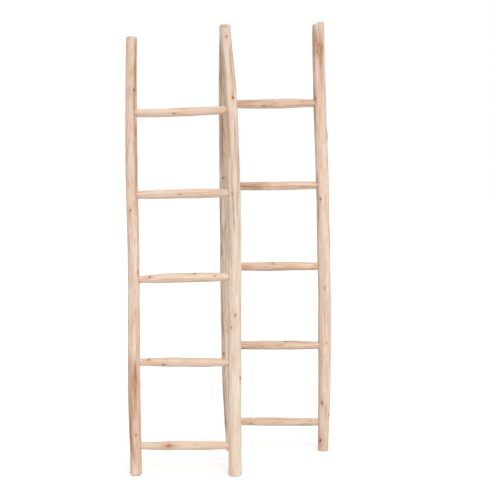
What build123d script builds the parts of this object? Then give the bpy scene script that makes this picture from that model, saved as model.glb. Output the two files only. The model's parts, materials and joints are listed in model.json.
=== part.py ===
"""Folding double ladder rack of peeled teak branches: two five-rung ladders side by side,
joined at the tops of their neighbouring stiles by one steel butt hinge.

Millimetres. The origin is on the floor in the middle of the footprint, +Z is up, the viewer
stands in front at -Y, and +X is to the viewer's right. The rear ladder stands upright and
the front ladder leans back against the hinge.
"""

from build123d import *
from math import cos, radians, sin, sqrt
import os

os.makedirs("parts", exist_ok=True)

# How the rack stands open
LEAN = 9.7  # degrees that the front ladder leans back
REAR_PLANE_Y = 188.5  # centre plane of the upright rear ladder
HINGE_X = -17
HINGE_Z = 1926

# Stiles, each as (sideways place, radius) at evenly spaced heights up the ladder, from just
# under the floor to the top
FOOT_ALLOWANCE = 12


def halfway(before, here, there, after):
    """The value midway between here and there on a smooth curve through all four."""
    return (9 * (here + there) - before - after) / 16


def spread(top, places):
    """The stations of a stile as (height, sideways place, radius), with one more on the
    smooth curve between each two of the places."""
    step = (top + FOOT_ALLOWANCE) / (len(places) - 1) / 2
    padded = [places[0], *places, places[-1]]
    stations = []
    for before, here, there, after in zip(padded, padded[1:], padded[2:], padded[3:]):
        stations.append(here)
        stations.append(tuple(map(halfway, before, here, there, after)))
    stations.append(places[-1])
    return [(i * step - FOOT_ALLOWANCE, x, radius) for i, (x, radius) in enumerate(stations)]


FRONT_LEFT = spread(
    1938,
    [
        (-397.5, 25.1),
        (-409.5, 27.2),
        (-415.3, 26.4),
        (-421.8, 26.1),
        (-433.3, 26.9),
        (-440, 26.0),
        (-441.5, 25.0),
    ],
)
FRONT_RIGHT = spread(
    1976,
    [
        (27.4, 28.3),
        (25.6, 29.2),
        (25.3, 29.6),
        (25, 29.7),
        (24.1, 29.6),
        (15.9, 27.4),
        (5.2, 26.7),
        (-15.9, 21.6),
    ],
)
REAR_LEFT = spread(
    1974,
    [
        (7.7, 25.6),
        (-7.7, 28.8),
        (-14.8, 28.8),
        (-18.1, 28.8),
        (-20.3, 28.2),
        (-23.8, 27.1),
        (-21.8, 26.1),
    ],
)
REAR_RIGHT = spread(
    1986,
    [
        (436.8, 24.5),
        (441.9, 29.0),
        (440.6, 30.2),
        (433.4, 29.8),
        (424.2, 29.4),
        (411.8, 28.9),
        (403.5, 27.6),
    ],
)
FOOT_ROUND = 4
TOP_ROUND = 11

# Rungs from the lowest up, each as (height of the left end, height of the right end,
# left tenon radius, middle radius, right tenon radius)
FRONT_RUNGS = [
    (124, 126, 14.8, 19.2, 15.0),
    (481, 480, 16.1, 20.2, 14.9),
    (841, 854, 15.0, 21.5, 16.5),
    (1217, 1227, 16.9, 20.9, 16.8),
    (1587, 1605, 18.0, 18.9, 18.0),
]
REAR_RUNGS = [
    (139, 134, 17.0, 19.6, 16.5),
    (498, 498, 18.0, 21.6, 17.1),
    (865, 869, 18.5, 21.0, 17.5),
    (1237, 1243, 18.5, 19.8, 16.8),
    (1612, 1620, 17.5, 21.4, 17.0),
]
TENON_SHOULDER = 34  # from the stile's centre line to where the rung starts to swell
GLUE_GAP = 1  # between the end of a tenon and the bottom of its mortise

# Nails that lock the tenons, driven from behind
NAIL_OFFSET = 13  # from the stile's centre line towards the rung
NAIL_SHANK_RADIUS = 1.1
NAIL_HEAD_RADIUS = 2.8
NAIL_HEAD_THICKNESS = 1.2
NAIL_TIP = 9  # how far past the middle of the tenon a nail reaches
NAIL_SINK = 1.0  # how deep the top of a nail's head sits under the wood

# Butt hinge
KNUCKLE_RADIUS = 6
PIN_RADIUS = 3
PIN_CLEARANCE = 0.05
PIN_OVERHANG = 1.2
PIN_END_ROUND = 0.8
LEAF_WIDTH = 20
LEAF_LENGTH = 56
LEAF_THICKNESS = 2.5
LEAF_CORNER = 4
KNUCKLE_GAP = 0.4
KNUCKLE_WIDTH = (LEAF_WIDTH - 2 * KNUCKLE_GAP) / 3
KNUCKLE_RELIEF = 0.7
FRONT_SEAT = 17.8  # from the front stile's centre plane to the flat that its leaf lies on
REAR_SEAT = 21.3
SEAT_BELOW = LEAF_LENGTH + 1  # the flats run from here below the pin
FRONT_SEAT_ABOVE = 40  # to here above it
REAR_SEAT_ABOVE = 24

# Countersunk hinge screws, as (sideways, down from the pin) on a leaf
SCREW_PLACES = [(-4.5, 15), (4.5, 31), (-4.5, 47)]
SCREW_HEAD_RADIUS = 3.4
SCREW_SHANK_RADIUS = 1.6
SCREW_HEAD_DEPTH = 1.8
SCREW_LENGTH = 22
SCREW_TIP = 3
CROSS_LENGTH = 3.6
CROSS_WIDTH = 0.8
CROSS_DEPTH = 1.0

# The two ladders' own planes: local x is sideways, y to the rear and z up the ladder.
# The front one is placed so that its leaf's knuckle is on the hinge pin.
HINGE_Y = REAR_PLANE_Y - REAR_SEAT - KNUCKLE_RADIUS
PIN_TO_FRONT = FRONT_SEAT + KNUCKLE_RADIUS
HINGE_HEIGHT = (HINGE_Z + PIN_TO_FRONT * sin(radians(LEAN))) / cos(radians(LEAN))
FRONT_FOOT_Y = HINGE_Y - HINGE_HEIGHT * sin(radians(LEAN)) - PIN_TO_FRONT * cos(radians(LEAN))
front_ladder = Plane(
    origin=(0, FRONT_FOOT_Y, 0),
    x_dir=(1, 0, 0),
    z_dir=(0, sin(radians(LEAN)), cos(radians(LEAN))),
)
rear_ladder = Plane(origin=(0, REAR_PLANE_Y, 0), x_dir=(1, 0, 0), z_dir=(0, 0, 1))


def stile_at(stations, height):
    """Sideways place and radius of a stile at a height, between its stations."""
    for (low, x_low, r_low), (high, x_high, r_high) in zip(stations, stations[1:]):
        if height <= high:
            share = (height - low) / (high - low)
            return x_low + share * (x_high - x_low), r_low + share * (r_high - r_low)


def make_leaf_seat(ladder, depth, height):
    """Plane of the flat that a leaf lies on, level with the pin, facing out of the stile with
    y up the ladder. A negative depth is a flat on the stile's front."""
    side = 1 if depth > 0 else -1
    origin = ladder.from_local_coords(Vector(HINGE_X, depth, height))
    return Plane(origin=origin, x_dir=(-side, 0, 0), z_dir=ladder.y_dir * side)


front_seat = make_leaf_seat(front_ladder, FRONT_SEAT, HINGE_HEIGHT)
rear_seat = make_leaf_seat(rear_ladder, -REAR_SEAT, HINGE_Z)


def find_tenons(ladder, rungs, left_stile, right_stile):
    """The tenons at the rungs' left ends and those at their right ends, each as
    (socket plane, tenon radius, nail plane, nail length). A socket plane is on the stile's
    centre line and faces into the rung. A nail plane is the top of the nail's head."""
    left_tenons, right_tenons = [], []
    for left_height, right_height, left_radius, _, right_radius in rungs:
        left_x, left_stile_radius = stile_at(left_stile, left_height)
        right_x, right_stile_radius = stile_at(right_stile, right_height)
        left_end = ladder.from_local_coords(Vector(left_x, 0, left_height))
        right_end = ladder.from_local_coords(Vector(right_x, 0, right_height))
        along = (right_end - left_end).normalized()
        for end, inwards, tenon_radius, stile_radius, found in (
            (left_end, along, left_radius, left_stile_radius, left_tenons),
            (right_end, -along, right_radius, right_stile_radius, right_tenons),
        ):
            head_top = sqrt(stile_radius**2 - NAIL_OFFSET**2) - NAIL_SINK
            head_centre = end + inwards * NAIL_OFFSET + ladder.y_dir * head_top
            nail = Plane(origin=head_centre, x_dir=(1, 0, 0), z_dir=ladder.y_dir)
            socket = Plane(origin=end, x_dir=ladder.y_dir, z_dir=inwards)
            found.append((socket, tenon_radius, nail, head_top + NAIL_TIP))
    return left_tenons, right_tenons


def make_stile(ladder, stations, tenons):
    """A bent and tapering branch, sawn level at the floor, with its mortises and nail holes."""
    with BuildPart() as stile:
        for height, x, radius in stations:
            with BuildSketch(ladder.offset(height)):
                with Locations((x, 0)):
                    Circle(radius)
        loft()
        split(bisect_by=Plane.XY, keep=Keep.TOP)
        fillet(stile.faces().sort_by(Axis.Z)[0].edges(), FOOT_ROUND)
        fillet(stile.faces().sort_by(Axis.Z)[-1].edges(), TOP_ROUND)
        for socket, tenon_radius, nail, nail_length in tenons:
            with BuildSketch(socket):
                Circle(tenon_radius)
            extrude(amount=2 * TENON_SHOULDER, mode=Mode.SUBTRACT)
            with Locations(nail):
                CounterBoreHole(
                    radius=NAIL_SHANK_RADIUS,
                    counter_bore_radius=NAIL_HEAD_RADIUS,
                    counter_bore_depth=NAIL_HEAD_THICKNESS,
                    depth=nail_length,
                )
    return stile


def make_hinged_stile(ladder, stations, tenons, seat, seat_above):
    """The same, with the flat for a hinge leaf, room for the knuckles and screw holes."""
    plain = make_stile(ladder, stations, tenons)
    with BuildPart() as stile:
        add(plain.part)
        with BuildSketch(seat):
            with Locations((0, (seat_above - SEAT_BELOW) / 2)):
                Rectangle(4 * KNUCKLE_RADIUS + 2 * LEAF_WIDTH, seat_above + SEAT_BELOW)
        extrude(amount=2 * KNUCKLE_RADIUS, mode=Mode.SUBTRACT)
        with BuildSketch(knuckle_end(seat, -LEAF_WIDTH / 2 - 1)):
            Circle(KNUCKLE_RADIUS + KNUCKLE_RELIEF)
        extrude(amount=LEAF_WIDTH + 2, mode=Mode.SUBTRACT)
        with Locations(*screw_planes(seat)):
            Hole(SCREW_SHANK_RADIUS, depth=SCREW_LENGTH)
    return stile


def knuckle_end(seat, x):
    """Plane across the hinge pin at a sideways place on a leaf."""
    return Plane(origin=seat.from_local_coords(Vector(x, 0, KNUCKLE_RADIUS)), z_dir=seat.x_dir)


def screw_planes(seat):
    """The tops of a leaf's screw heads."""
    return [
        Plane(origin=seat.from_local_coords(Vector(x, -down, LEAF_THICKNESS)), z_dir=seat.z_dir)
        for x, down in SCREW_PLACES
    ]


def make_rung(left_tenon, right_tenon, middle_radius):
    """A whittled rung: straight round tenons at its ends and a belly in the middle."""
    left_socket, left_radius, left_nail, left_nail_length = left_tenon
    right_socket, right_radius, right_nail, right_nail_length = right_tenon
    length = (right_socket.origin - left_socket.origin).length
    side_view = Plane(
        origin=left_socket.origin, x_dir=left_socket.z_dir, z_dir=left_socket.x_dir
    )
    with BuildPart() as rung:
        with BuildSketch(side_view):
            with BuildLine():
                belly = Spline(
                    (TENON_SHOULDER, left_radius),
                    (length / 2, middle_radius),
                    (length - TENON_SHOULDER, right_radius),
                )
                Polyline(
                    belly @ 0,
                    (GLUE_GAP, left_radius),
                    (GLUE_GAP, 0),
                    (length - GLUE_GAP, 0),
                    (length - GLUE_GAP, right_radius),
                    belly @ 1,
                )
            make_face()
        revolve(axis=Axis(side_view.origin, side_view.x_dir))
        for nail, nail_length in ((left_nail, left_nail_length), (right_nail, right_nail_length)):
            with Locations(nail):
                Hole(NAIL_SHANK_RADIUS, depth=nail_length)
    return rung


def make_nails(tenons):
    """Flat-headed nails, one through each tenon."""
    with BuildPart() as nails:
        for _, _, nail, nail_length in tenons:
            with BuildSketch(nail):
                Circle(NAIL_HEAD_RADIUS)
            extrude(amount=-NAIL_HEAD_THICKNESS)
            with BuildSketch(nail):
                Circle(NAIL_SHANK_RADIUS)
            extrude(amount=-nail_length)
    return nails


def make_leaf(seat, own_knuckles, other_knuckles, bore_radius):
    """A hinge leaf with its knuckles, cut away round those of the other leaf.
    Knuckles are given as (start, width) along the pin."""
    with BuildPart() as leaf:
        with BuildSketch(seat) as outline:
            with Locations((0, -LEAF_LENGTH / 2)):
                Rectangle(LEAF_WIDTH, LEAF_LENGTH)
            fillet(outline.vertices().group_by(Axis.Y)[0], LEAF_CORNER)
        extrude(amount=LEAF_THICKNESS)
        for start, width in own_knuckles:
            with BuildSketch(knuckle_end(seat, start)):
                Circle(KNUCKLE_RADIUS)
            extrude(amount=width)
        for start, width in other_knuckles:
            with BuildSketch(knuckle_end(seat, start)):
                Circle(KNUCKLE_RADIUS + KNUCKLE_GAP)
            extrude(amount=width, mode=Mode.SUBTRACT)
        with BuildSketch(knuckle_end(seat, -LEAF_WIDTH / 2)):
            Circle(bore_radius)
        extrude(amount=LEAF_WIDTH, mode=Mode.SUBTRACT)
        with Locations(*screw_planes(seat)):
            CounterSinkHole(SCREW_SHANK_RADIUS, SCREW_HEAD_RADIUS, counter_sink_angle=90)
    return leaf


def make_screws(seat):
    """A leaf's countersunk cross-headed screws."""
    with BuildPart() as screws:
        for top in screw_planes(seat):
            section = Plane(origin=top.origin, x_dir=seat.x_dir, z_dir=-seat.y_dir)
            with BuildSketch(section):
                with BuildLine():
                    Polyline(
                        (0, 0),
                        (SCREW_HEAD_RADIUS, 0),
                        (SCREW_SHANK_RADIUS, -SCREW_HEAD_DEPTH),
                        (SCREW_SHANK_RADIUS, SCREW_TIP - SCREW_LENGTH),
                        (0, -SCREW_LENGTH),
                        close=True,
                    )
                make_face()
            revolve(axis=Axis(top.origin, top.z_dir))
            with BuildSketch(top):
                Rectangle(CROSS_LENGTH, CROSS_WIDTH)
                Rectangle(CROSS_WIDTH, CROSS_LENGTH)
            extrude(amount=-CROSS_DEPTH, mode=Mode.SUBTRACT)
    return screws


def keep(piece, node):
    """Labels a finished piece and writes it."""
    piece.part.label = node
    export_step(piece.part, f"parts/{node}.step")


# Where every tenon sits
front_left_tenons, front_right_tenons = find_tenons(
    front_ladder, FRONT_RUNGS, FRONT_LEFT, FRONT_RIGHT
)
rear_left_tenons, rear_right_tenons = find_tenons(rear_ladder, REAR_RUNGS, REAR_LEFT, REAR_RIGHT)

# Front ladder
front_stile_left = make_stile(front_ladder, FRONT_LEFT, front_left_tenons)
front_stile_right = make_hinged_stile(
    front_ladder, FRONT_RIGHT, front_right_tenons, front_seat, FRONT_SEAT_ABOVE
)
keep(front_stile_left, "front_stile_left")
keep(front_stile_right, "front_stile_right")
keep(make_nails(front_left_tenons + front_right_tenons), "front_tenon_nails")

# Rear ladder
rear_stile_left = make_hinged_stile(
    rear_ladder, REAR_LEFT, rear_left_tenons, rear_seat, REAR_SEAT_ABOVE
)
rear_stile_right = make_stile(rear_ladder, REAR_RIGHT, rear_right_tenons)
keep(rear_stile_left, "rear_stile_left")
keep(rear_stile_right, "rear_stile_right")
keep(make_nails(rear_left_tenons + rear_right_tenons), "rear_tenon_nails")

# Rungs, numbered from the lowest up
for name, rungs, left_tenons, right_tenons in (
    ("front", FRONT_RUNGS, front_left_tenons, front_right_tenons),
    ("rear", REAR_RUNGS, rear_left_tenons, rear_right_tenons),
):
    for number, (rung, left, right) in enumerate(zip(rungs, left_tenons, right_tenons), 1):
        keep(make_rung(left, right, rung[3]), f"{name}_rung_{number}")

# Hinge: the front leaf has the middle knuckle and turns on the pin, the rear leaf has the
# outer two and grips it
outer_start = KNUCKLE_WIDTH / 2 + KNUCKLE_GAP
middle_knuckle = [(-KNUCKLE_WIDTH / 2, KNUCKLE_WIDTH)]
outer_knuckles = [(-LEAF_WIDTH / 2, KNUCKLE_WIDTH), (outer_start, KNUCKLE_WIDTH)]
outer_cutaways = [
    (-LEAF_WIDTH / 2 - 1, KNUCKLE_WIDTH + KNUCKLE_GAP + 1),
    (KNUCKLE_WIDTH / 2, KNUCKLE_WIDTH + KNUCKLE_GAP + 1),
]
middle_cutaway = [(-outer_start, 2 * outer_start)]
keep(
    make_leaf(front_seat, middle_knuckle, outer_cutaways, PIN_RADIUS + PIN_CLEARANCE),
    "hinge_leaf_front",
)
keep(make_leaf(rear_seat, outer_knuckles, middle_cutaway, PIN_RADIUS), "hinge_leaf_rear")
keep(make_screws(front_seat), "hinge_screws_front")
keep(make_screws(rear_seat), "hinge_screws_rear")

with BuildPart() as hinge_pin:
    with BuildSketch(knuckle_end(rear_seat, -LEAF_WIDTH / 2 - PIN_OVERHANG)):
        Circle(PIN_RADIUS)
    extrude(amount=LEAF_WIDTH + 2 * PIN_OVERHANG)
    fillet(hinge_pin.edges().filter_by(GeomType.CIRCLE), PIN_END_ROUND)
keep(hinge_pin, "hinge_pin")
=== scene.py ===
"""The looks of the folding double ladder rack: peeled and sanded teak branches, whittled rungs
and a small steel hinge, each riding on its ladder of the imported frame.

Metres, in the frame's own axes. A branch is first turned as a straight round blank, then
bent, faceted and knotted by moving its points, and it carries its own wood coordinates, so
the grain follows the branch through every bend.
"""

import json
from math import atan2, cos, exp, hypot, pi, radians, sin, sqrt

import bmesh
import bpy
from mathutils import Matrix, Vector, noise


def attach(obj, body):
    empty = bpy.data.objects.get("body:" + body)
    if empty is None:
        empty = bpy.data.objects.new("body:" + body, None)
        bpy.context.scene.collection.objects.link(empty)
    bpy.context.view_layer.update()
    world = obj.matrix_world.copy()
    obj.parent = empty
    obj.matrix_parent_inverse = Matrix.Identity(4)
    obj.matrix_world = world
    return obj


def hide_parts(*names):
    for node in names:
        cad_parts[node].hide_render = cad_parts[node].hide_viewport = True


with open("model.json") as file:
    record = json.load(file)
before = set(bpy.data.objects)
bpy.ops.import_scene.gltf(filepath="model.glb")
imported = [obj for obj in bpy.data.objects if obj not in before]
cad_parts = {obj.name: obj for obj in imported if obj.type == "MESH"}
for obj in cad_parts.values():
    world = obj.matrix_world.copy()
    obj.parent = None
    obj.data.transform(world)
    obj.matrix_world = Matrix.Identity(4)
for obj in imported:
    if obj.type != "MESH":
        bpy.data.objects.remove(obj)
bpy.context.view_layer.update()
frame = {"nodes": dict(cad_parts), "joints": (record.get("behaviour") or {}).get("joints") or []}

# ---------------------------------------------------------------------------------------
# The two ladders' places, read from the frame
# ---------------------------------------------------------------------------------------

fold = frame["joints"][0]
LEAN = radians(-fold["range_deg"][0])  # folding shut brings the front ladder upright
HINGE = Vector(fold["pos_m"])
HINGE_TO_FRONT = 0.0238  # from the pin to the front ladder's centre plane
HINGE_TO_REAR = 0.0273
FRONT_SEAT = 0.0178  # from a ladder's centre plane to the flat under its hinge leaf
REAR_SEAT = 0.0213
SEAT_BELOW = 0.057
KNUCKLE_ROOM = 0.0067

hinge_height = (HINGE.z + HINGE_TO_FRONT * sin(LEAN)) / cos(LEAN)
front_foot_y = HINGE.y - hinge_height * sin(LEAN) - HINGE_TO_FRONT * cos(LEAN)
front_place = Matrix.Translation((0, front_foot_y, 0)) @ Matrix.Rotation(-LEAN, 4, "X")
rear_place = Matrix.Translation((0, HINGE.y + HINGE_TO_REAR, 0))

# Stiles, as (sideways place, radius) at even heights from just under the floor to the top
FOOT_ALLOWANCE = 0.012
FRONT_LEFT_LINE = [
    (-0.3975, 0.0251),
    (-0.4095, 0.0272),
    (-0.4153, 0.0264),
    (-0.4218, 0.0261),
    (-0.4333, 0.0269),
    (-0.4400, 0.0260),
    (-0.4415, 0.0250),
]
FRONT_RIGHT_LINE = [
    (0.0274, 0.0283),
    (0.0256, 0.0292),
    (0.0253, 0.0296),
    (0.0250, 0.0297),
    (0.0241, 0.0296),
    (0.0159, 0.0274),
    (0.0052, 0.0267),
    (-0.0159, 0.0216),
]
REAR_LEFT_LINE = [
    (0.0077, 0.0256),
    (-0.0077, 0.0288),
    (-0.0148, 0.0288),
    (-0.0181, 0.0288),
    (-0.0203, 0.0282),
    (-0.0238, 0.0271),
    (-0.0218, 0.0261),
]
REAR_RIGHT_LINE = [
    (0.4368, 0.0245),
    (0.4419, 0.0290),
    (0.4406, 0.0302),
    (0.4334, 0.0298),
    (0.4242, 0.0294),
    (0.4118, 0.0289),
    (0.4035, 0.0276),
]
FRONT_LEFT_TOP, FRONT_RIGHT_TOP = 1.938, 1.976
REAR_LEFT_TOP, REAR_RIGHT_TOP = 1.974, 1.986

# Rungs from the lowest up, as (left height, right height, left radius, belly, right radius)
FRONT_RUNGS = [
    (0.124, 0.126, 0.0148, 0.0192, 0.0150),
    (0.481, 0.480, 0.0161, 0.0202, 0.0149),
    (0.841, 0.854, 0.0150, 0.0215, 0.0165),
    (1.217, 1.227, 0.0169, 0.0209, 0.0168),
    (1.587, 1.605, 0.0180, 0.0189, 0.0180),
]
REAR_RUNGS = [
    (0.139, 0.134, 0.0170, 0.0196, 0.0165),
    (0.498, 0.498, 0.0180, 0.0216, 0.0171),
    (0.865, 0.869, 0.0185, 0.0210, 0.0175),
    (1.237, 1.243, 0.0185, 0.0198, 0.0168),
    (1.612, 1.620, 0.0175, 0.0214, 0.0170),
]
TENON_SHOULDER = 0.034
NAIL_OFFSET = 0.013
NAIL_HEAD_RADIUS = 0.0028
NAIL_SINK = 0.001

# What is left of the knife: lumps as (rise, fineness round, fineness along), how far the flats
# wander round as (angle, fineness along), and how deep they are cut as (mean share of a full
# flat, fineness round, fineness along)
STILE_CARVING = {
    "lumps": ((0.0013, 0.8, 7), (0.0006, 1.9, 24), (0.0004, 4.2, 5)),
    "drift": (0.9, 1.3),
    "cut": (0.42, 0.7, 5),
}
RUNG_CARVING = {
    "lumps": ((0.0011, 0.7, 11), (0.0006, 1.7, 38)),
    "drift": (1.2, 3),
    "cut": (0.5, 0.6, 9),
}
CUT_SPREAD = 0.4
STILE_SWAY = 0.0022  # to the front and back
MOUTH_DEPTH = 0.0016  # of the dish round a tenon
NAIL_BOWL_RADIUS = 0.009  # of the hammered hollow round a nail
CRACK_HALF_WIDTH = 0.0007

# How finely the pieces are divided
ROW_STEP = 0.0026
STILE_COLUMNS = 72
RUNG_COLUMNS = 52


def clamp(value, low=0.0, high=1.0):
    return max(low, min(high, value))


def ease(value, low, high):
    """0 below low, 1 above high, smooth between."""
    share = clamp((value - low) / (high - low))
    return share * share * (3 - 2 * share)


def between(values, share):
    """A smooth curve through evenly spaced values, at a share of its whole length."""
    spot = clamp(share) * (len(values) - 1)
    first = min(int(spot), len(values) - 2)
    rest = spot - first
    before = values[max(first - 1, 0)]
    here, there = values[first], values[first + 1]
    after = values[min(first + 2, len(values) - 1)]
    lead, trail = (there - before) / 2, (after - here) / 2
    square, cube = rest * rest, rest * rest * rest
    return (
        here * (2 * cube - 3 * square + 1)
        + lead * (cube - 2 * square + rest)
        + there * (3 * square - 2 * cube)
        + trail * (cube - square)
    )


def turn_between(turn, other):
    """The signed angle from one direction round a branch to another."""
    return (turn - other + pi) % (2 * pi) - pi


# ---------------------------------------------------------------------------------------
# Shader maths
# ---------------------------------------------------------------------------------------


class Value:
    """A number that changes over a surface. Arithmetic on it adds its Math nodes."""

    def __init__(self, finish, socket):
        self.finish, self.socket = finish, socket

    def math(self, operation, *others, swap=False):
        terms = [self, *others]
        if swap:
            terms.reverse()
        made = self.finish.node(
            "ShaderNodeMath", {"operation": operation}, dict(enumerate(terms))
        )
        return Value(self.finish, made.outputs[0])

    def __add__(self, other):
        return self.math("ADD", other)

    def __radd__(self, other):
        return self.math("ADD", other)

    def __sub__(self, other):
        return self.math("SUBTRACT", other)

    def __rsub__(self, other):
        return self.math("SUBTRACT", other, swap=True)

    def __mul__(self, other):
        return self.math("MULTIPLY", other)

    def __rmul__(self, other):
        return self.math("MULTIPLY", other)

    def wave(self):
        """From 0 to 1 and back, once for each whole number."""
        return (self * (2 * pi)).math("SINE") * 0.5 + 0.5

    def rise(self, low, high):
        """0 below low, 1 above high, smooth between."""
        made = self.finish.node(
            "ShaderNodeMapRange",
            {"interpolation_type": "SMOOTHSTEP"},
            {"Value": self, "From Min": low, "From Max": high},
        )
        return Value(self.finish, made.outputs["Result"])


class Finish:
    """A material under construction."""

    def __init__(self, name):
        self.material = bpy.data.materials.new(name)
        self.material.use_nodes = True
        self.tree = self.material.node_tree
        self.shader = self.tree.nodes["Principled BSDF"]

    def node(self, kind, settings=None, inputs=None):
        made = self.tree.nodes.new(kind)
        for key, setting in (settings or {}).items():
            setattr(made, key, setting)
        for key, value in (inputs or {}).items():
            if isinstance(value, Value):
                self.tree.links.new(value.socket, made.inputs[key])
            elif isinstance(value, bpy.types.NodeSocket):
                self.tree.links.new(value, made.inputs[key])
            else:
                made.inputs[key].default_value = value
        return made

    def attribute(self, name):
        """The three numbers that a piece's points carry under this name, and all as a vector."""
        vector = self.node("ShaderNodeAttribute", {"attribute_name": name}).outputs["Vector"]
        parts = self.node("ShaderNodeSeparateXYZ", None, {"Vector": vector})
        return [Value(self, parts.outputs[i]) for i in range(3)] + [vector]

    def stretched(self, vector, across, along):
        """Wood coordinates scaled apart across and along the grain."""
        made = self.node(
            "ShaderNodeVectorMath",
            {"operation": "MULTIPLY"},
            {0: vector, 1: (across, across, along)},
        )
        return made.outputs["Vector"]

    def noise(self, vector, scale=1.0, detail=2.0, roughness=0.5):
        made = self.node(
            "ShaderNodeTexNoise",
            {"noise_dimensions": "3D"},
            {"Vector": vector, "Scale": scale, "Detail": detail, "Roughness": roughness},
        )
        return Value(self, made.outputs["Fac"])

    def blend(self, share, first, second):
        """From the first colour to the second as the share goes from 0 to 1."""
        made = self.node(
            "ShaderNodeMix",
            {"data_type": "RGBA", "clamp_factor": True},
            {0: share, 6: first, 7: second},
        )
        return made.outputs[2]

    def bump(self, height, strength, distance):
        made = self.node(
            "ShaderNodeBump",
            None,
            {"Height": height, "Strength": strength, "Distance": distance},
        )
        return made.outputs["Normal"]

    def feed(self, **sockets):
        """Sets or links the shader's own sockets."""
        for name, value in sockets.items():
            socket = self.shader.inputs[name.replace("_", " ")]
            if isinstance(value, Value):
                value = value.socket
            if isinstance(value, bpy.types.NodeSocket):
                self.tree.links.new(value, socket)
            else:
                socket.default_value = value
        return self.material


def colour(red, green, blue):
    """A colour as painted, from 0 to 255, turned to the light it returns."""
    return tuple((level / 255) ** 2.2 for level in (red, green, blue)) + (1,)


CREAM = (243, 228, 208)
PINK_BEIGE = (234, 207, 186)
TAN = (210, 171, 140)
BROWN = (172, 122, 86)
GREY_OLIVE = (166, 159, 142)
KNOT_ORANGE = (188, 118, 68)
KNOT_DARK = (92, 56, 36)


def peeled_teak(name, pinkness, tan=0.5, greyness=0.0, mottling=0.2):
    """Sanded teak without varnish. pinkness turns the cream wood to a pinkish beige, tan sets
    how strong its long streaks are, greyness greys it as weathering and as painted shade,
    and mottling browns it in patches."""
    finish = Finish(name)
    across, sideways, along, grain = finish.attribute("grain")
    knot_core, knot_halo, knot_depth, _ = finish.attribute("knot")
    # brown stains; grey streaks with painted shade down the left sides; painted shade at the
    # joints and in the cracks
    brown, grey_and_side_shade, painted_shade, _ = finish.attribute("stain_and_shade")

    clouds = finish.noise(finish.stretched(grain, 42, 3.5), detail=3)
    patches = finish.noise(finish.stretched(grain, 85, 11), detail=4, roughness=0.62)
    figure = finish.noise(finish.stretched(grain, 125, 9), detail=4, roughness=0.55)
    streaks = finish.noise(finish.stretched(grain, 190, 3.6), detail=4, roughness=0.6)
    shadows = finish.noise(finish.stretched(grain, 130, 5), detail=3, roughness=0.6)
    threads = finish.noise(finish.stretched(grain, 560, 14), detail=3, roughness=0.65)
    fibres = finish.noise(finish.stretched(grain, 1900, 45), detail=2)
    pores = finish.noise(finish.stretched(grain, 1500, 110), detail=1).rise(0.64, 0.74)
    flecks = finish.noise(finish.stretched(grain, 400, 50), detail=2).rise(0.66, 0.76)

    # Growth rings: where the surface dips or swells it cuts them in long pointed flames
    depth = (across * across + sideways * sideways).math("SQRT")
    wobble = finish.noise(finish.stretched(grain, 70, 5), detail=2) * 0.0012
    rings = ((depth + wobble) * 620).wave()
    late_wood = rings.rise(0.55, 0.98)

    ground = finish.blend((clouds - 0.5) * 3 + pinkness, colour(*CREAM), colour(*PINK_BEIGE))
    ground = finish.blend(figure.rise(0.46, 0.64) * tan, ground, colour(*TAN))
    ground = finish.blend(streaks.rise(0.46, 0.66) * tan * 0.8, ground, colour(*TAN))
    ground = finish.blend(patches.rise(0.54, 0.66) * mottling, ground, colour(*BROWN))
    ground = finish.blend(late_wood * threads.rise(0.3, 0.7) * 0.36, ground, colour(*TAN))
    ground = finish.blend(threads.rise(0.52, 0.76) * 0.42, ground, colour(*TAN))
    ground = finish.blend(fibres.rise(0.54, 0.8) * 0.22, ground, colour(*BROWN))
    grey_share = shadows.rise(0.44, 0.62) * (greyness + grey_and_side_shade * 0.85) + grey_and_side_shade * 0.15
    ground = finish.blend(grey_share, ground, colour(*GREY_OLIVE))
    brown_share = brown * (threads.rise(0.3, 0.66) * 0.35 + patches.rise(0.36, 0.6) * 0.5)
    ground = finish.blend(brown_share + brown * 0.3, ground, colour(*BROWN))
    ground = finish.blend(flecks * 0.45, ground, colour(*BROWN))
    ground = finish.blend(pores * 0.3, ground, colour(*BROWN))

    # Knots: a heart, dark only in the darkest, a brown rim, and a faint halo drawn out
    # along the grain
    ragged = (finish.noise(grain, scale=380, detail=3) - 0.5) * 1.1
    core = knot_core + ragged
    halo = 1 - (knot_halo + ragged).rise(0.4, 2.0)
    rim = 1 - core.rise(0.35, 1.45)
    heart = 1 - core.rise(0.25, 0.8)
    knot_rings = (core * 2.7).wave()
    darkness = knot_depth * knot_depth
    ground = finish.blend(halo * 0.34 * knot_depth, ground, colour(*BROWN))
    ground = finish.blend(rim * knot_depth, ground, colour(*KNOT_ORANGE))
    ground = finish.blend(rim * knot_rings * 0.3 * darkness, ground, colour(*KNOT_DARK))
    ground = finish.blend(heart * darkness, ground, colour(*KNOT_DARK))
    # painted shade at the tenon mouths, nail hollows, rung ends and in the cracks, in the knots'
    # dark brown
    ground = finish.blend(painted_shade, ground, colour(*KNOT_DARK))

    relief = (
        fibres * 0.5
        + threads * 0.55
        + streaks * 0.3
        - pores * 0.5
        - late_wood * 0.15
        - heart * darkness * 0.9
    )
    return finish.feed(
        Base_Color=ground,
        Roughness=0.62 + streaks * 0.14 - rim * 0.12,
        Specular_IOR_Level=0.3,
        Normal=finish.bump(relief, 0.5, 0.0006),
    )


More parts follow.
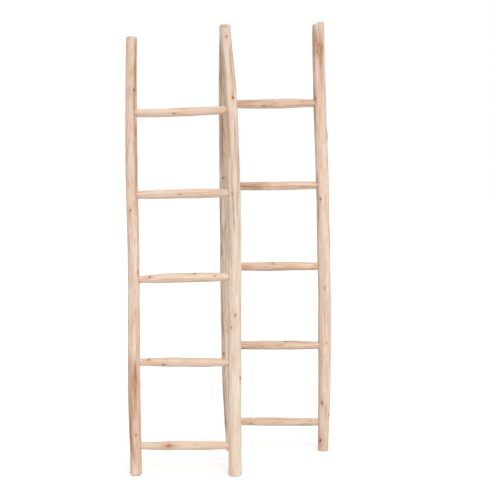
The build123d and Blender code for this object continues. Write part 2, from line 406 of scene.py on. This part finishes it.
def worn_steel(name, tone, rust):
    """Plain zinc-plated steel, rubbed dull, with some rust."""
    finish = Finish(name)
    place = finish.node("ShaderNodeTexCoord").outputs["Object"]
    cloud = finish.noise(place, scale=160, detail=4, roughness=0.65)
    brushed = finish.noise(finish.stretched(place, 2600, 180), detail=2)
    specks = finish.noise(place, scale=900, detail=3).rise(0.6, 0.74)
    rusty = specks * cloud.rise(0.46, 0.62) * rust
    bright = finish.blend(cloud, colour(*tone), colour(*[level * 1.25 for level in tone]))
    surface = finish.blend(rusty, bright, colour(116, 66, 36))
    return finish.feed(
        Base_Color=surface,
        Metallic=0.95 - rusty * 0.85,
        Roughness=0.34 + cloud * 0.2 + rusty * 0.35,
        Normal=finish.bump(brushed * 0.4 + cloud * 0.6 + rusty, 0.25, 0.0002),
    )


# ---------------------------------------------------------------------------------------
# Wood by hand
# ---------------------------------------------------------------------------------------


def turn_blank(foot_round, top_round, radius, low, high, columns):
    """A straight round blank of unit radius, closed at both ends. Its ends are turned over
    with rows close enough together to carve."""
    bm = bmesh.new()
    cap_rows = max(4, int(radius / ROW_STEP))
    arc_rows = 6
    foot_face, top_face = 1 - foot_round / radius, 1 - top_round / radius
    rows = [(foot_face * i / cap_rows, low) for i in range(cap_rows)]
    for i in range(arc_rows + 1):
        swing = pi / 2 * i / arc_rows
        share = foot_face + (1 - foot_face) * sin(swing)
        rows.append((share, low + foot_round * (1 - cos(swing))))
    for i in range(arc_rows, -1, -1):
        swing = pi / 2 * i / arc_rows
        share = top_face + (1 - top_face) * sin(swing)
        rows.append((share, high - top_round * (1 - cos(swing))))
    rows += [(top_face * i / cap_rows, high) for i in range(cap_rows - 1, -1, -1)]
    verts = [bmesh.ops.create_vert(bm, co=(s, 0, h))["vert"][0] for s, h in rows]
    edges = [bm.edges.new(pair) for pair in zip(verts, verts[1:])]
    shaft = max(edges, key=lambda edge: edge.calc_length())
    cuts = int(shaft.calc_length() / ROW_STEP)
    bmesh.ops.subdivide_edges(bm, edges=[shaft], cuts=cuts)
    bmesh.ops.spin(
        bm,
        geom=bm.verts[:] + bm.edges[:],
        cent=(0, 0, 0),
        axis=(0, 0, 1),
        angle=2 * pi,
        steps=columns,
        use_merge=True,
    )
    bmesh.ops.remove_doubles(bm, verts=bm.verts[:], dist=1e-6)
    return bm


def facets(turn, drift, count):
    """How far flat cuts lie under the round, as a share of the radius."""
    slice_angle = 2 * pi / count
    inside = (turn + drift) % slice_angle - slice_angle / 2
    return cos(slice_angle / 2) / cos(inside) - 1


def carved(turn, along, radius, count, seed, carving):
    """How far the wood stands above its round, with its lumps and this many flats."""
    around = Vector((sin(turn), cos(turn), 0))

    def swell(fineness, pace, start):
        return noise.noise(around * fineness + Vector((0, 0, along * pace)) + start)

    lumps = sum(rise * swell(fineness, pace, seed) for rise, fineness, pace in carving["lumps"])
    angle, drift_pace = carving["drift"]
    mean_cut, fineness, pace = carving["cut"]
    drift = angle * swell(0, drift_pace, seed)
    cut = mean_cut + CUT_SPREAD * swell(fineness, pace, -seed)
    return lumps + radius * facets(turn, drift, count) * clamp(cut)


def find_knots(knots, turn, height, radius):
    """The nearest knot's core and halo distances, its darkness, and the swelling of all."""
    core, halo, dark, swelling = 9.0, 9.0, 0.0, 0.0
    for knot_height, knot_turn, size, rise, depth in knots:
        up = height - knot_height
        if abs(up) > 8 * size + 0.02:
            continue
        side = turn_between(turn, knot_turn) * radius
        distance = hypot(side, up * 0.8) / size
        drawn = hypot(side * 0.9, up * 0.3) / size
        swelling += rise * (exp(-((distance / 1.9) ** 2)) - 0.5 * exp(-((distance / 0.6) ** 2)))
        if distance < core:
            core, dark = distance, depth
        halo = min(halo, drawn)
    return core, halo, dark, swelling


def stain_at(stains, turn, height, radius):
    """The strength of the streaks drawn along a branch at a point."""
    total = 0.0
    for low, high, stain_turn, width, strength in stains:
        if low - 0.05 < height < high + 0.05:
            side = turn_between(turn, stain_turn) * radius / width
            ends = ease(height, low - 0.05, low + 0.04)
            ends *= 1 - ease(height, high - 0.04, high + 0.05)
            total += strength * ends * exp(-side * side)
    return clamp(total)


def finish_piece(bm, name, place, material, body, node):
    """Puts a carved blank in its place and hands it to the frame."""
    bmesh.ops.transform(bm, matrix=place, verts=bm.verts[:])
    bmesh.ops.recalc_face_normals(bm, faces=bm.faces[:])
    for face in bm.faces:
        face.smooth = True
    mesh = bpy.data.meshes.new(name)
    bm.to_mesh(mesh)
    bm.free()
    piece = bpy.data.objects.new(name, mesh)
    bpy.context.scene.collection.objects.link(piece)
    mesh.materials.append(material)
    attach(piece, body)
    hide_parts(node)


def make_stile(name, node, body, place, line, top, rungs, side, material, look):
    """A peeled branch. side is 1 where the rungs enter from its right and -1 from its left.
    look holds what is this branch's own: its seed, knots, stains and painted side shade, cracks
    and ends."""
    seed = Vector((look["seed"] * 7.3, look["seed"] * 3.1, look["seed"] * 1.7))
    xs, radii = [x for x, _ in line], [r for _, r in line]
    span = top + FOOT_ALLOWANCE
    column_turn = 2 * pi / STILE_COLUMNS
    knots = [(h, radians(t), size, rise, dark) for h, t, size, rise, dark in look["knots"]]
    browns = [(a, b, radians(t), w, s) for a, b, t, w, s in look["browns"]]
    greys_and_side_shade = [(a, b, radians(t), w, s) for a, b, t, w, s in look["greys_and_side_shade"]]
    cracks = [
        (a, b, round(radians(t) / column_turn) * column_turn, depth)
        for a, b, t, depth in look["cracks"]
    ]
    tenons = [(rung[0], rung[2]) if side > 0 else (rung[1], rung[4]) for rung in rungs]
    foot_round, top_round = look["foot_round"], look["top_round"]
    bm = turn_blank(foot_round, top_round, radii[-1], 0.0, top, STILE_COLUMNS)
    grain_layer = bm.verts.layers.float_vector.new("grain")
    knot_layer = bm.verts.layers.float_vector.new("knot")
    stain_and_shade_layer = bm.verts.layers.float_vector.new("stain_and_shade")
    leaning = place.to_3x3() @ Vector((0, 0, 1))
    floor_slope = leaning.y / leaning.z

    for vert in bm.verts:
        share = min(1.0, hypot(vert.co.x, vert.co.y))
        turn = atan2(vert.co.x, -vert.co.y)
        height = vert.co.z
        along = (height + FOOT_ALLOWANCE) / span
        centre_x, radius = between(xs, along), between(radii, along)
        centre_y = STILE_SWAY * noise.noise(Vector((height * 1.9, 4.2, 0)) + seed)
        centre_y *= ease(height, 0, 0.2) * (1 - ease(height, 1.6, 1.8))

        lump = carved(turn, height, radius, look["facets"], seed, STILE_CARVING)
        if look.get("seat"):
            lump *= 1 - 0.6 * ease(height, 1.45, 1.6)  # planed where the two branches meet
        core, halo, dark, swelling = find_knots(knots, turn, height, radius)

        # Cracks that run in from the sawn ends
        crack = 0.0
        for low, high, crack_turn, depth in cracks:
            if low < height < high:
                off = turn_between(turn, crack_turn)
                from_end = (height - low) if low > top / 2 else (high - height)
                open_share = clamp(from_end / (high - low))
                if abs(off) < 0.4 * column_turn:
                    crack = max(crack, open_share)
                    lump -= depth * open_share * share
                elif abs(off) < 1.4 * column_turn:
                    near = column_turn - CRACK_HALF_WIDTH / radius
                    turn -= near * min(1, open_share * 6) * (1 if off > 0 else -1)

        reach = (radius + (lump + swelling) * ease(share, 0.5, 1.0)) * share
        x, y = reach * sin(turn), centre_y - reach * cos(turn)

        # Worn, slightly uneven ends
        if height < 0.06:
            level = height + floor_slope * (y if share else 0) * (1 - ease(height, 0.0, 0.06))
            wear = 0.0012 * noise.noise(Vector((x, y, 0)) * 70 + seed)
            wear *= 1 - ease(height, 0, 0.02)
            height_now = level + abs(wear) * (1 if share > 0.6 else 0.3)
        else:
            height_now = height
        end_share = ease(height, top - 0.04, top)
        slant_x, slant_y = look["slant"]
        height_now += (slant_x * x + slant_y * y) * end_share
        height_now += 0.0011 * noise.noise(Vector((x, y, 3)) * 60 + seed) * end_share

        # A sliver split off the top, on one side of a straight line
        if look.get("split"):
            split_x, split_low, split_drop = look["split"]
            past = ease(split_x - x, 0.0, 0.0012)
            gone = past * ease(height, split_low, split_low + 0.012)
            x, y = x * (1 - 0.025 * gone), y * (1 - 0.025 * gone)
            height_now -= (split_drop + 0.35 * (split_x - x)) * past * end_share

        # The flat under a hinge leaf and the room for its knuckles
        if look.get("seat"):
            facing, depth, above = look["seat"]
            pin_height = hinge_height if facing > 0 else HINGE.z
            down = pin_height - height
            if -above < down < SEAT_BELOW:
                limit = depth
                if abs(down) < KNUCKLE_ROOM:
                    limit = depth + 0.006 - sqrt(KNUCKLE_ROOM**2 - down**2)
                    limit = min(depth, limit)
                if facing * y > limit:
                    y = facing * limit

        # A dished mouth round each tenon, and a hammered flat round each nail, with painted
        # shade darkening the wood round both
        painted_shade = 0.0
        for tenon_height, tenon_radius in tenons:
            up = height - tenon_height
            if abs(up) < tenon_radius + 0.02:
                if x * side > 0:
                    gap = hypot(up, y) - tenon_radius
                    x_dish = MOUTH_DEPTH * (1 - ease(gap, -0.001, 0.0045))
                    x -= side * x_dish
                    painted_shade = max(painted_shade, 0.3 * (1 - ease(abs(gap), 0.0, 0.003)))
                nail_off = hypot(x - side * NAIL_OFFSET, up)
                if y > 0 and nail_off < NAIL_BOWL_RADIUS:
                    head = sqrt(radius**2 - NAIL_OFFSET**2) - NAIL_SINK - 0.0003
                    bowl = head + max(0.0, nail_off - NAIL_HEAD_RADIUS - 0.001) * 0.35
                    y = min(y, bowl)
                    painted_shade = max(painted_shade, 0.5 * (1 - ease(nail_off, 0.002, 0.006)))

        twist = turn + look["spiral"] * height
        twist += 0.22 * noise.noise(Vector((0, 0, height * 2.3)) - seed)
        grain_radius = radius + lump * 2.6 + swelling * 0.5 + 0.0016 * exp(-core * core * 0.4)
        grain_x, grain_y = sin(twist) * share * grain_radius, -cos(twist) * share * grain_radius
        vert[grain_layer] = Vector((grain_x, grain_y, height)) + seed
        vert[knot_layer] = Vector((core, halo, dark))
        # brown stains, grey streaks with painted shade down the left side, and painted shade at
        # the tenon mouths, nail hollows and in the cracks
        vert[stain_and_shade_layer] = Vector(
            (
                stain_at(browns, turn, height, radius),
                stain_at(greys_and_side_shade, turn, height, radius),
                clamp(max(painted_shade, crack * 0.9)),
            )
        )
        vert.co = Vector((centre_x + x, y, height_now))

    finish_piece(bm, name, place, material, body, node)


def line_at(line, top, height):
    """The middle of a stile at a height, in its ladder's own plane."""
    xs = [x for x, _ in line]
    return Vector((between(xs, (height + FOOT_ALLOWANCE) / (top + FOOT_ALLOWANCE)), 0, height))


def make_rung(name, node, body, place, left, right, sizes, material, look):
    """A whittled rung from the middle of one stile to the middle of the other."""
    left_radius, belly, right_radius = sizes
    seed = Vector((look["seed"] * 5.1, look["seed"] * 2.3, look["seed"] * 9.7))
    length = (right - left).length
    knots = [
        (s * length, radians(t), size, rise, dark) for s, t, size, rise, dark in look["knots"]
    ]
    browns = [
        (a * length, b * length, radians(t), w, s) for a, b, t, w, s in look.get("browns", [])
    ]
    bow_up, bow_front = look["bow"]
    bm = turn_blank(0.002, 0.002, 0.012, 0.001, length - 0.001, RUNG_COLUMNS)
    grain_layer = bm.verts.layers.float_vector.new("grain")
    knot_layer = bm.verts.layers.float_vector.new("knot")
    stain_and_shade_layer = bm.verts.layers.float_vector.new("stain_and_shade")
    for vert in bm.verts:
        share = min(1.0, hypot(vert.co.x, vert.co.y))
        turn = atan2(vert.co.x, -vert.co.y)  # 0 faces the front and a quarter turn faces up
        along = vert.co.z / length
        end_radius = left_radius if along < 0.5 else right_radius
        swell = abs(2 * along - 1) / (1 - 2 * TENON_SHOULDER / length)
        radius = end_radius + (belly - end_radius) * (1 - clamp(swell) ** 3)
        free = ease(vert.co.z, 0.02, 0.05) * (1 - ease(vert.co.z, length - 0.05, length - 0.02))
        lump = carved(turn, vert.co.z, radius, look["facets"], seed, RUNG_CARVING)
        core, halo, dark, swelling = find_knots(knots, turn, vert.co.z, radius)
        out = (radius + (lump + swelling) * free) * share
        arch = sin(pi * along) * free
        wander = 0.0016 * noise.noise(Vector((0, 0, vert.co.z * 6)) - seed) * free
        up = out * sin(turn) + bow_up * arch + wander
        back = -out * cos(turn) - bow_front * arch
        # painted shade darkening the rung where it goes into the stile
        painted_shade = 0.15 * (1 - ease(min(vert.co.z, length - vert.co.z), 0.024, 0.034))
        grain_radius = radius + lump * 1.6 + swelling * 0.6 + 0.0014 * exp(-core * core * 0.4)
        vert[grain_layer] = (
            Vector((sin(turn) * grain_radius, -cos(turn) * grain_radius, vert.co.z)) + seed
        )
        vert[knot_layer] = Vector((core, halo, dark))
        vert[stain_and_shade_layer] = Vector((stain_at(browns, turn, vert.co.z, radius), 0, painted_shade))
        vert.co = Vector((vert.co.z, back, up))
    slope = atan2((right - left).z, (right - left).x)
    laid = Matrix.Translation(left) @ Matrix.Rotation(-slope, 4, "Y")
    finish_piece(bm, name, place @ laid, material, body, node)


# ---------------------------------------------------------------------------------------
# Camera, floor and light
# ---------------------------------------------------------------------------------------

CAMERA_PLACE = Vector((0.070, -4.1915, 1.25))
CAMERA_DIP = radians(3.7)
CAMERA_LENS = 69.57

camera = bpy.data.objects.new("camera", bpy.data.cameras.new("camera"))
camera.data.lens = CAMERA_LENS
camera.location = CAMERA_PLACE
camera.rotation_euler = (pi / 2 - CAMERA_DIP, 0, 0)
bpy.context.scene.collection.objects.link(camera)
bpy.context.scene.camera = camera

scene = bpy.context.scene
scene.view_settings.view_transform = "Standard"

SUN_TURN = radians(20)  # to the right of straight ahead
SUN_HEIGHT = radians(33)
SUN_POWER = 0.82
SUN_WIDTH = radians(38)
SKY_LEVEL = 0.66
SKY_SLOPE = 0.38  # how much brighter the surround is in front than at its middle
SKY_FRONT = (0.30, -0.81, 0.50)  # where it is brightest
FLOOR_SIZE = 60
FLOOR_GLOW = 0.36


def camera_rays(tree):
    """1 for what the camera sees itself and 0 for what only lights something else."""
    return tree.nodes.new("ShaderNodeLightPath").outputs["Is Camera Ray"]


def make_floor():
    """A white floor, lit from within as seen by the camera, so that it meets the white
    surround without an edge."""
    bm = bmesh.new()
    bmesh.ops.create_grid(bm, x_segments=2, y_segments=2, size=FLOOR_SIZE)
    mesh = bpy.data.meshes.new("floor")
    bm.to_mesh(mesh)
    bm.free()
    floor = bpy.data.objects.new("floor", mesh)
    scene.collection.objects.link(floor)
    finish = Finish("floor_paint")
    glow = finish.blend(camera_rays(finish.tree), (0, 0, 0, 1), (1, 1, 1, 1))
    mesh.materials.append(
        finish.feed(
            Base_Color=(0.8, 0.8, 0.8, 1),
            Roughness=0.9,
            Specular_IOR_Level=0.0,
            Emission_Color=glow,
            Emission_Strength=FLOOR_GLOW,
        )
    )


def make_sun():
    sun = bpy.data.lights.new("window", "SUN")
    sun.energy = SUN_POWER
    sun.angle = SUN_WIDTH
    sun_object = bpy.data.objects.new("window", sun)
    sun_object.rotation_euler = (pi / 2 - SUN_HEIGHT, 0, SUN_TURN)
    scene.collection.objects.link(sun_object)


def make_surround():
    """A surround that lights the front more than the back, and is plain white to the camera."""
    world = bpy.data.worlds.new("surround")
    world.use_nodes = True
    scene.world = world
    background = world.node_tree.nodes["Background"]
    background.inputs["Color"].default_value = (1, 1, 1, 1)
    tree = world.node_tree
    way = tree.nodes.new("ShaderNodeTexCoord")
    facing = tree.nodes.new("ShaderNodeVectorMath")
    facing.operation = "DOT_PRODUCT"
    facing.inputs[1].default_value = SKY_FRONT
    tree.links.new(way.outputs["Generated"], facing.inputs[0])
    light = tree.nodes.new("ShaderNodeMapRange")
    light.inputs["From Min"].default_value = -1
    light.inputs["To Min"].default_value = SKY_LEVEL - SKY_SLOPE
    light.inputs["To Max"].default_value = SKY_LEVEL + SKY_SLOPE
    tree.links.new(facing.outputs["Value"], light.inputs["Value"])
    level = tree.nodes.new("ShaderNodeMix")
    level.inputs[3].default_value = 1.0
    tree.links.new(camera_rays(tree), level.inputs[0])
    tree.links.new(light.outputs["Result"], level.inputs[2])
    tree.links.new(level.outputs[0], background.inputs["Strength"])


make_floor()
make_sun()
make_surround()

# ---------------------------------------------------------------------------------------
# The pieces
# ---------------------------------------------------------------------------------------

front_left_teak = peeled_teak("teak_front_left", 0.75, tan=0.62, mottling=0.36)
front_right_teak = peeled_teak("teak_front_right", 0.35, tan=0.34, greyness=0.16, mottling=0.2)
# darker and greyer than the other branches: partly its own grey streaks and mottling, partly
# painted shade for the front ladder's shadow on it
rear_left_teak = peeled_teak("teak_rear_left", 0.4, tan=0.45, greyness=0.36, mottling=0.6)
rear_right_teak = peeled_teak("teak_rear_right", 0.65, tan=0.45, mottling=0.28)
front_rung_teak = peeled_teak("teak_front_rungs", 0.9, tan=0.4, mottling=0.25)
rear_rung_teak = peeled_teak("teak_rear_rungs", 1.1, tan=0.8, mottling=0.5)

# Knots are (height, turn from the front in degrees, size, rise, darkness)
# Stains are (from, to, turn, width, strength), cracks are (from, to, turn, depth); among the
# greys, a streak down the whole left side is painted shade
FRONT_LEFT_LOOK = {
    "seed": 1.0,
    "spiral": 0.25,
    "facets": 9,
    "foot_round": 0.011,
    "top_round": 0.007,
    "slant": (0.0, 0.05),
    "knots": [
        (1.689, 36, 0.007, 0.0014, 0.8),
        (1.146, -10, 0.005, 0.0008, 0.7),
        (0.873, 56, 0.005, 0.0006, 0.8),
        (0.423, 18, 0.004, 0.0006, 0.5),
        (0.172, 13, 0.005, 0.0008, 0.6),
        (0.62, 150, 0.006, 0.0012, 0.7),
        (1.32, -140, 0.006, 0.0012, 0.6),
    ],
    "browns": [
        (1.66, 1.90, 48, 0.008, 1.0),
        (1.54, 1.70, 40, 0.006, 0.8),
        (1.24, 1.52, 54, 0.010, 1.0),
        (1.00, 1.20, 66, 0.006, 0.5),
        (0.05, 0.50, -12, 0.030, 0.6),
        (0.36, 0.46, 15, 0.009, 0.7),
        (0.12, 0.30, -42, 0.008, 0.6),
    ],
    # the first grey, down the whole left side, is painted shade for the side turned from the
    # light
    "greys_and_side_shade": [(0.0, 1.95, -78, 0.014, 0.5), (0.15, 0.3, -5, 0.006, 0.5)],
    "cracks": [
        (1.87, 1.9385, -20, 0.0022),
        (1.90, 1.9385, 100, 0.0016),
        (-0.001, 0.05, 30, 0.002),
    ],
}
FRONT_RIGHT_LOOK = {
    "seed": 2.0,
    "spiral": -0.12,
    "facets": 8,
    "foot_round": 0.004,
    "top_round": 0.011,
    "slant": (-0.06, 0.0),
    "seat": (1, FRONT_SEAT, 0.05),
    "knots": [
        (1.934, 2, 0.0055, 0.0007, 0.75),
        (1.652, 19, 0.007, 0.0012, 0.8),
        (1.217, -16, 0.0045, 0.0006, 0.6),
        (0.685, 6, 0.0055, 0.0008, 0.68),
        (0.632, -33, 0.005, 0.0008, 0.6),
        (0.414, 55, 0.006, 0.0012, 0.7),
        (0.95, 170, 0.007, 0.0012, 0.7),
    ],
    "browns": [
        (1.66, 1.88, 26, 0.005, 0.9),
        (1.70, 1.92, 68, 0.008, 0.7),
        (1.40, 1.60, -38, 0.006, 0.8),
        (1.30, 1.62, 72, 0.007, 0.6),
        (1.20, 1.30, -14, 0.004, 0.5),
    ],
    "greys_and_side_shade": [
        (0.95, 1.56, 34, 0.006, 1.0),
        (1.05, 1.50, -8, 0.005, 0.8),
        (0.80, 1.30, -45, 0.007, 0.6),
        (1.50, 1.85, -55, 0.010, 0.9),
        # painted shade down the whole left side, turned from the light
        (0.1, 1.9, -85, 0.010, 0.5),
    ],
    "cracks": [(-0.001, 0.06, -12, 0.0022), (-0.001, 0.035, 70, 0.0016)],
}
REAR_LEFT_LOOK = {
    "seed": 3.0,
    "spiral": 0.3,
    "facets": 8,
    "foot_round": 0.005,
    "top_round": 0.007,
    "slant": (0.03, 0.0),
    "seat": (-1, REAR_SEAT, 0.024),
    "knots": [
        (1.276, -25, 0.006, 0.001, 0.7),
        (0.462, -35, 0.005, 0.0007, 1.0),
        (0.132, -68, 0.007, 0.001, 0.7),
        (1.55, 160, 0.007, 0.0014, 0.7),
        (0.72, -120, 0.006, 0.0012, 0.6),
    ],
    "browns": [
        (1.66, 1.90, -50, 0.008, 0.8),
        (1.32, 1.60, -30, 0.007, 0.9),
        (1.02, 1.24, -55, 0.007, 0.7),
        (0.10, 0.35, -62, 0.009, 0.8),
    ],
    "greys_and_side_shade": [
        (0.55, 0.95, -38, 0.012, 1.0),
        (1.30, 1.50, -60, 0.010, 0.9),
        (0.20, 0.45, -38, 0.007, 0.9),
        (1.50, 1.90, -28, 0.006, 0.6),
    ],
    "cracks": [(1.93, 1.9805, -60, 0.002), (1.91, 1.9805, 150, 0.0022)],
}
REAR_RIGHT_LOOK = {
    "seed": 4.0,
    "spiral": -0.2,
    "facets": 9,
    "foot_round": 0.005,
    "top_round": 0.004,
    "slant": (0.02, 0.04),
    "split": (0.0008, 1.94, 0.004),
    "knots": [
        (1.880, 0, 0.006, 0.0012, 0.62),
        (1.873, 34, 0.006, 0.0008, 0.4),
        (1.850, -10, 0.006, 0.001, 0.5),
        (1.640, -44, 0.005, 0.0005, 0.7),
        (1.472, 82, 0.011, 0.0034, 0.6),
        (1.180, -25, 0.0045, 0.0006, 1.0),
        (1.000, 82, 0.010, 0.003, 0.6),
        (0.770, 0, 0.0035, 0.0005, 1.0),
        (0.513, 12, 0.0045, 0.0006, 0.5),
        (0.232, -28, 0.005, 0.0008, 0.9),
        (0.172, 56, 0.005, 0.0008, 0.9),
        (0.052, -40, 0.007, 0.0006, 1.0),
    ],
    "browns": [
        (1.83, 1.93, -12, 0.018, 0.9),
        (1.79, 1.90, 22, 0.010, 0.8),
        (1.68, 1.78, 18, 0.007, 0.7),
        (1.50, 1.96, -62, 0.010, 0.6),
        (1.05, 1.30, -52, 0.009, 0.6),
        (0.55, 0.68, -5, 0.004, 0.5),
        (-0.05, 0.26, 5, 0.030, 0.28),
    ],
    # the first grey, down the whole left side, is painted shade for the side turned from the
    # light
    "greys_and_side_shade": [(0.0, 1.95, -80, 0.012, 0.5), (0.25, 0.6, -60, 0.010, 0.3)],
    "cracks": [(1.935, 1.9865, 2, 0.003)],
}

for name, ladder, place, line, top, rungs, side, material, look in (
    (
        "left", "front", front_place, FRONT_LEFT_LINE, FRONT_LEFT_TOP,
        FRONT_RUNGS, 1, front_left_teak, FRONT_LEFT_LOOK,
    ),
    (
        "right", "front", front_place, FRONT_RIGHT_LINE, FRONT_RIGHT_TOP,
        FRONT_RUNGS, -1, front_right_teak, FRONT_RIGHT_LOOK,
    ),
    (
        "left", "rear", rear_place, REAR_LEFT_LINE, REAR_LEFT_TOP,
        REAR_RUNGS, 1, rear_left_teak, REAR_LEFT_LOOK,
    ),
    (
        "right", "rear", rear_place, REAR_RIGHT_LINE, REAR_RIGHT_TOP,
        REAR_RUNGS, -1, rear_right_teak, REAR_RIGHT_LOOK,
    ),
):
    make_stile(
        f"branch_{ladder}_{name}",
        f"{ladder}_stile_{name}",
        f"{ladder}_ladder",
        place,
        line,
        top,
        rungs,
        side,
        material,
        look,
    )

# Knots on a rung are (share of its length, turn up from the front in degrees, size, rise,
# darkness) and its stains run from one share of its length to another
FRONT_RUNG_LOOKS = [
    {
        "seed": 11,
        "facets": 7,
        "bow": (0.0, 0.0),
        "knots": [(0.337, 4, 0.011, 0.001, 0.5)],
        "browns": [(0.325, 0.355, 4, 0.0065, 1.3)],
    },
    {
        "seed": 12,
        "facets": 7,
        "bow": (0.001, 0.0),
        "knots": [(0.148, 39, 0.005, 0.0008, 0.7), (0.295, -37, 0.006, 0.0008, 0.7)],
    },
    {
        "seed": 13,
        "facets": 8,
        "bow": (0.003, 0.0),
        "knots": [
            (0.164, 27, 0.005, 0.001, 0.8),
            (0.604, 45, 0.005, 0.0012, 0.7),
            (0.804, 10, 0.004, 0.0008, 0.6),
        ],
    },
    {"seed": 14, "facets": 7, "bow": (0.001, 0.0), "knots": [(0.469, -13, 0.004, 0.0006, 0.6)]},
    {
        "seed": 15,
        "facets": 7,
        "bow": (-0.004, 0.0),
        "knots": [(0.43, -28, 0.004, 0.0008, 0.8)],
        "browns": [(0.45, 0.72, 62, 0.006, 0.9)],
    },
]
REAR_RUNG_LOOKS = [
    {
        "seed": 21,
        "facets": 7,
        "bow": (0.0, 0.0),
        "knots": [(0.22, -20, 0.005, 0.0008, 0.6), (0.856, 30, 0.004, 0.0006, 0.6)],
        "browns": [(-0.1, 0.22, -30, 0.016, 0.4)],
    },
    {
        "seed": 22,
        "facets": 8,
        "bow": (0.001, 0.0),
        "knots": [(0.155, -40, 0.005, 0.0006, 0.9), (0.597, 62, 0.005, -0.0016, 1.0)],
        "browns": [(-0.1, 0.3, -20, 0.014, 0.5)],
    },
    {
        "seed": 23,
        "facets": 7,
        "bow": (0.001, 0.0),
        "knots": [(0.48, 40, 0.005, 0.001, 0.6), (0.881, -25, 0.004, 0.0006, 0.5)],
        "browns": [(-0.1, 0.25, -15, 0.014, 0.6), (0.4, 0.8, -40, 0.008, 0.4)],
    },
    {
        "seed": 24,
        "facets": 7,
        "bow": (0.0, 0.0),
        "knots": [(0.443, 5, 0.004, 0.0006, 0.5)],
        "browns": [(-0.1, 0.38, 0, 0.016, 0.9)],
    },
    {
        "seed": 25,
        "facets": 7,
        "bow": (0.0, 0.0),
        "knots": [(0.414, -28, 0.005, 0.0008, 0.6)],
        "browns": [(-0.1, 0.3, -10, 0.014, 0.5)],
    },
]

for ladder, place, rungs, looks, left, right, material in (
    (
        "front", front_place, FRONT_RUNGS, FRONT_RUNG_LOOKS,
        (FRONT_LEFT_LINE, FRONT_LEFT_TOP), (FRONT_RIGHT_LINE, FRONT_RIGHT_TOP),
        front_rung_teak,
    ),
    (
        "rear", rear_place, REAR_RUNGS, REAR_RUNG_LOOKS,
        (REAR_LEFT_LINE, REAR_LEFT_TOP), (REAR_RIGHT_LINE, REAR_RIGHT_TOP),
        rear_rung_teak,
    ),
):
    for number, (rung, look) in enumerate(zip(rungs, looks), 1):
        left_height, right_height, left_radius, belly, right_radius = rung
        make_rung(
            f"whittled_{ladder}_rung_{number}",
            f"{ladder}_rung_{number}",
            f"{ladder}_ladder",
            place,
            line_at(*left, left_height),
            line_at(*right, right_height),
            (left_radius, belly, right_radius),
            material,
            look,
        )

# The hinge and the nails keep their own shapes
hinge_steel = worn_steel("hinge_steel", (150, 148, 143), rust=0.35)
nail_steel = worn_steel("nail_steel", (112, 106, 100), rust=0.9)
for steel, nodes in (
    (
        hinge_steel,
        (
            "hinge_leaf_front",
            "hinge_leaf_rear",
            "hinge_pin",
            "hinge_screws_front",
            "hinge_screws_rear",
        ),
    ),
    (nail_steel, ("front_tenon_nails", "rear_tenon_nails")),
):
    for node in nodes:
        frame["nodes"][node].data.materials.clear()
        frame["nodes"][node].data.materials.append(steel)
